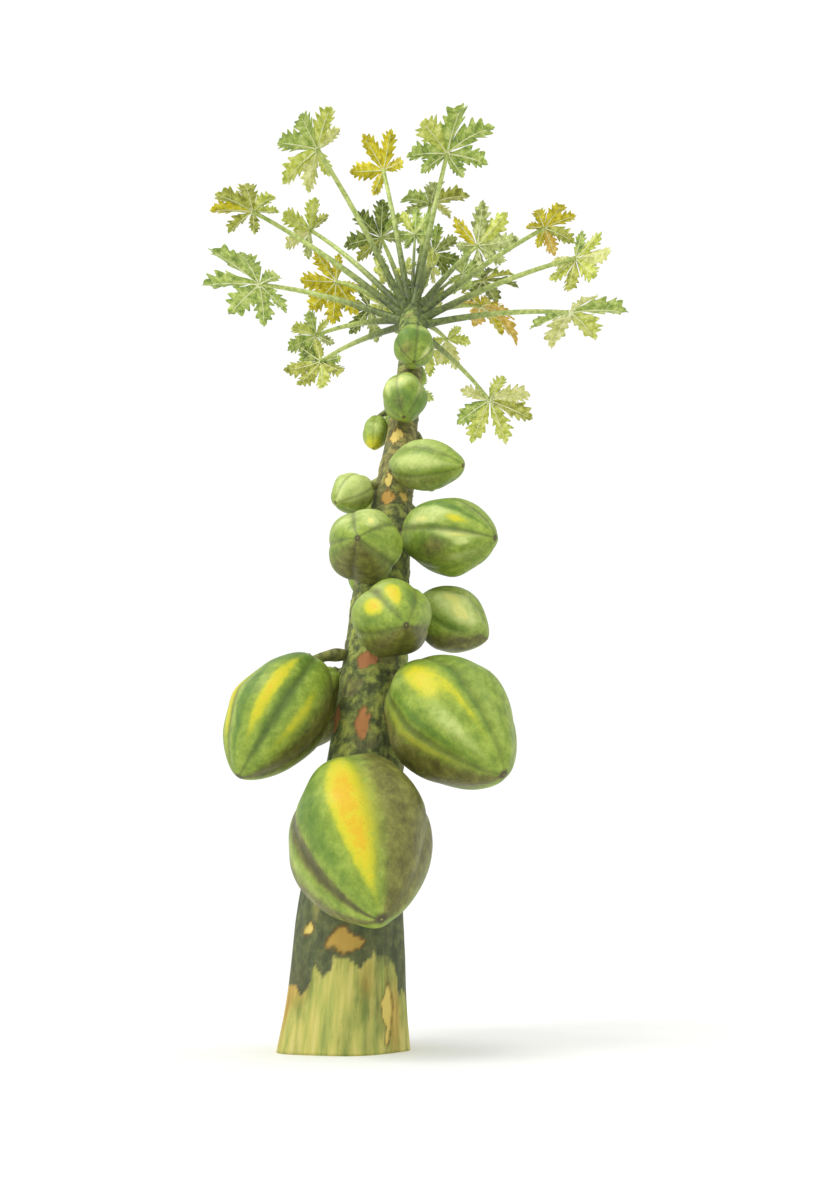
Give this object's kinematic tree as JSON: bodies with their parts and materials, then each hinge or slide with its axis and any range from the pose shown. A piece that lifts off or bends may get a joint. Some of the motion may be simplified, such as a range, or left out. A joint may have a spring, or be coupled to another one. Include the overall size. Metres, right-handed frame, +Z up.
{
  "type": "papaya tree",
  "caption": "Leaning papaya tree rooted in the ground: bare tapering trunk, ridged green-yellow fruit on short stalks, and a round crown of long-stalked lobed leaves.",
  "frame": {"origin": "middle of the flat cut under the trunk, at ground level", "axes": "+Z up along the height; +X the way the trunk leans, to the viewer's right; +Y away from the viewer"},
  "size_m": [1.8195, 1.3556, 2.9353],
  "materials": {
    "bark": "matte",
    "fruit": "satin",
    "leaf_dark": "matte",
    "leaf_mid": "matte",
    "leaf_light": "matte",
    "leaf_olive": "matte",
    "leaf_grey": "matte",
    "leaf_yellow": "matte",
    "leaf_ochre": "matte"
  },
  "bodies": {
    "root": {"trunk": "bark", "fruit_01": "fruit", "fruit_02": "fruit", "fruit_03": "fruit", "fruit_04": "fruit", "fruit_05": "fruit", "fruit_06": "fruit", "fruit_07": "fruit", "fruit_08": "fruit", "fruit_09": "fruit", "fruit_10": "fruit", "fruit_11": "fruit", "fruit_12": "fruit", "fruit_13": "fruit", "fruit_14": "fruit", "fruit_15": "fruit", "fruit_16": "fruit", "fruit_17": "fruit", "fruit_18": "fruit", "fruit_19": "fruit", "fruit_20": "fruit", "fruit_21": "fruit", "fruit_22": "fruit", "leaf_01": "leaf_mid", "leaf_02": "leaf_olive", "leaf_03": "leaf_light", "leaf_04": "leaf_ochre", "leaf_05": "leaf_light", "leaf_06": "leaf_dark", "leaf_07": "leaf_yellow", "leaf_08": "leaf_dark", "leaf_09": "leaf_light", "leaf_10": "leaf_olive", "leaf_11": "leaf_mid", "leaf_12": "leaf_grey", "leaf_13": "leaf_grey", "leaf_14": "leaf_dark", "leaf_15": "leaf_dark", "leaf_16": "leaf_yellow", "leaf_17": "leaf_light", "leaf_18": "leaf_mid", "leaf_19": "leaf_ochre", "leaf_20": "leaf_light", "leaf_21": "leaf_light", "leaf_22": "leaf_light", "leaf_23": "leaf_mid", "leaf_24": "leaf_mid"}
  },
  "joints": []
}
